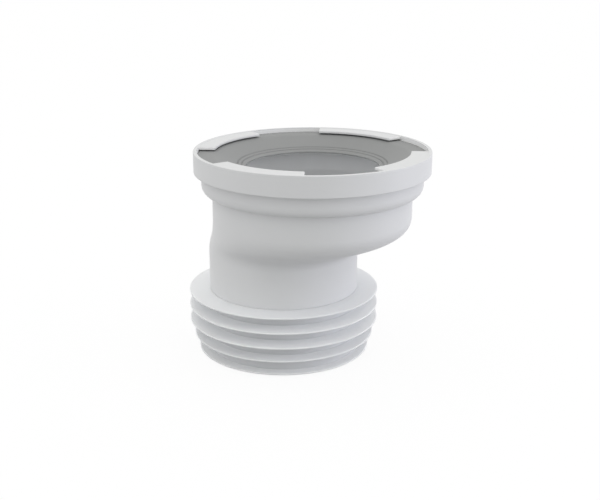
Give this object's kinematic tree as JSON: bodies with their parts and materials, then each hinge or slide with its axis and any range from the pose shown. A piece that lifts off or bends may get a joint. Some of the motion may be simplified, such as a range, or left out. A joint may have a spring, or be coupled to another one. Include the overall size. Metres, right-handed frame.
{
  "type": "toilet pan connector",
  "caption": "Offset pan connector: a collared socket with a membrane seal, an eccentric wall and a finned spigot, which joins a toilet outlet to a soil pipe.",
  "frame": {"origin": "centre of the spigot's bore at its open lower end", "axes": "+Z along the spigot's bore, up to the socket; +X from the spigot axis towards the socket axis"},
  "size_m": [0.1466, 0.1382, 0.1257],
  "materials": {
    "connector_body": "white moulded polypropylene with a fine satin grain",
    "socket_seal": "grey soft rubber, matte",
    "finned_seal": "pale cool white soft rubber, matte"
  },
  "bodies": {
    "root": {"connector_body": "connector_body", "socket_seal": "socket_seal", "finned_seal": "finned_seal"}
  },
  "joints": []
}
